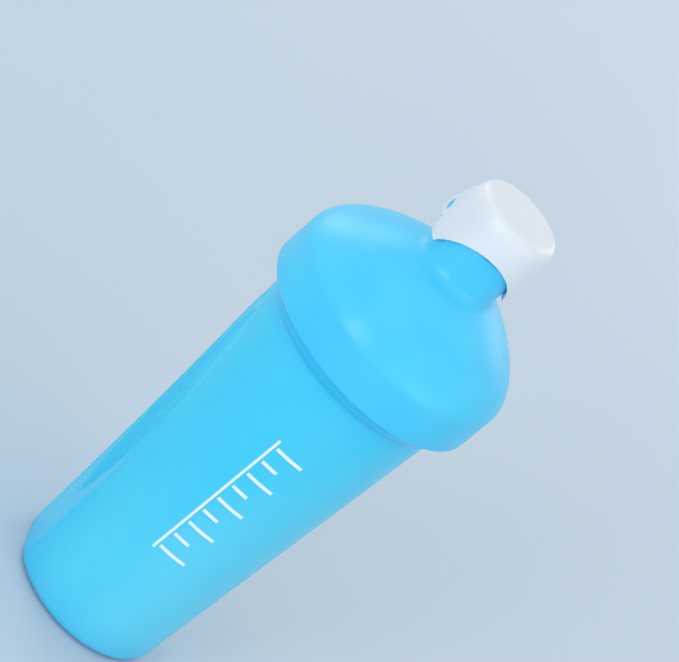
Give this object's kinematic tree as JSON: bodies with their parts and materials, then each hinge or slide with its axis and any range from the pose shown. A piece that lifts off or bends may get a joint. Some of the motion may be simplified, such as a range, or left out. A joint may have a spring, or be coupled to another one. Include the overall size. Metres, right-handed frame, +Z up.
{
  "type": "protein shaker bottle",
  "caption": "Tapered translucent shaker cup with flat ribbed grips, screw-on domed lid, drinking spout under a flip cap, and a loose dumbbell-shaped wire whisk.",
  "frame": {"origin": "middle of the base, on the surface that the bottle stands on", "axes": "+Z up along the bottle's axis; -Y is the printed front; the flat grips are on +X and -X; the cap swings back towards +Y"},
  "size_m": [0.098, 0.098, 0.2385],
  "materials": {
    "cup_plastic": "frosted translucent, light cyan blue",
    "print_ink": "white screen-printed ink",
    "whisk_steel": "polished stainless steel wire",
    "seal_silicone": "soft pale translucent silicone",
    "lid_plastic": "satin translucent, light cyan blue",
    "cap_plastic": "satin white"
  },
  "bodies": {
    "cup": {"cup_body": "cup_plastic", "volume_scale": "print_ink"},
    "whisk": {"wire_whisk": "whisk_steel"},
    "seal_ring": {"lid_seal_ring": "seal_silicone"},
    "lid": {"screw_lid": "lid_plastic"},
    "cap": {"flip_cap": "cap_plastic", "spout_seal": "seal_silicone"}
  },
  "joints": [
    {"name": "lid_rise", "type": "slide", "parent": "cup", "child": "seal_ring", "axis": [0, 0, 1], "range_m": [0, 0.12]},
    {"name": "lid_unscrew", "type": "hinge", "parent": "seal_ring", "child": "lid", "pos_m": [0, 0, 0.183], "axis": [0, 0, 1], "range_deg": [0, 5400]},
    {"name": "cap_flip", "type": "hinge", "parent": "lid", "child": "cap", "pos_m": [0, 0.008, 0.219], "axis": [-1, 0, 0], "range_deg": [0, 95]},
    {"name": "whisk_travel", "type": "slide", "parent": "cup", "child": "whisk", "axis": [0, 0, 1], "range_m": [0, 0.15]}
  ],
  "couplings": [
    {"joint": "lid_rise", "follows": "lid_unscrew", "m_per_rad": 0.0012732}
  ]
}
